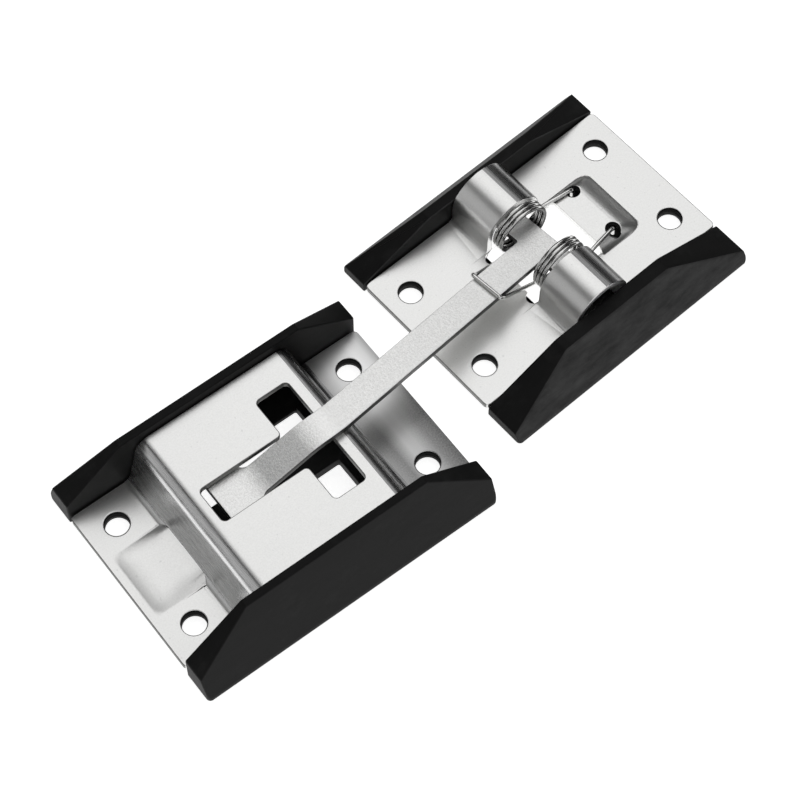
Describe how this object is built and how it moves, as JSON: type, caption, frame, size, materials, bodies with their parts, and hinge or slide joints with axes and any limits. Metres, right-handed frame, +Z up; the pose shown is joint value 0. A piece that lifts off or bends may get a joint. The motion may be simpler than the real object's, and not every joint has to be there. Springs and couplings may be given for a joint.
{
  "type": "camper door catch",
  "caption": "T-style camper door holder: a sprung T-arm hinged on one steel plate is latched into a slotted steel plate, each on a black rubber base with buffers.",
  "frame": {"origin": "in the plane that the rubber bases rest on, at the middle of the arm plate's four screw holes", "axes": "+X along the arm plate away from the socket plate, +Y across the plate along the hinge, +Z up from the mounting surface"},
  "size_m": [0.1513, 0.0628, 0.0179],
  "materials": {
    "plate_steel": "satin bright plating",
    "arm_steel": "satin, slightly grainy plating",
    "spring_wire": "bright drawn wire",
    "rubber": "matt moulded black"
  },
  "bodies": {
    "arm_base": {"arm_plate": "plate_steel", "arm_plate_rubber": "rubber", "torsion_spring": "spring_wire"},
    "arm": {"t_arm": "arm_steel"},
    "socket": {"socket_plate": "plate_steel", "socket_rubber": "rubber"}
  },
  "joints": [
    {"name": "arm_pivot", "type": "hinge", "parent": "arm_base", "child": "arm", "pos_m": [-0.001, 0, 0.0084], "axis": [-0.0924, 0.9957, 0], "range_deg": [0, 100], "stiffness_Nm_per_rad": 0.08, "springref_deg": -34.38, "deforming": ["torsion_spring"]},
    {"name": "slot_slide", "type": "slide", "parent": "arm", "child": "socket", "axis": [-0.9972, 0.075, 0], "range_m": [0, 0.004]}
  ]
}
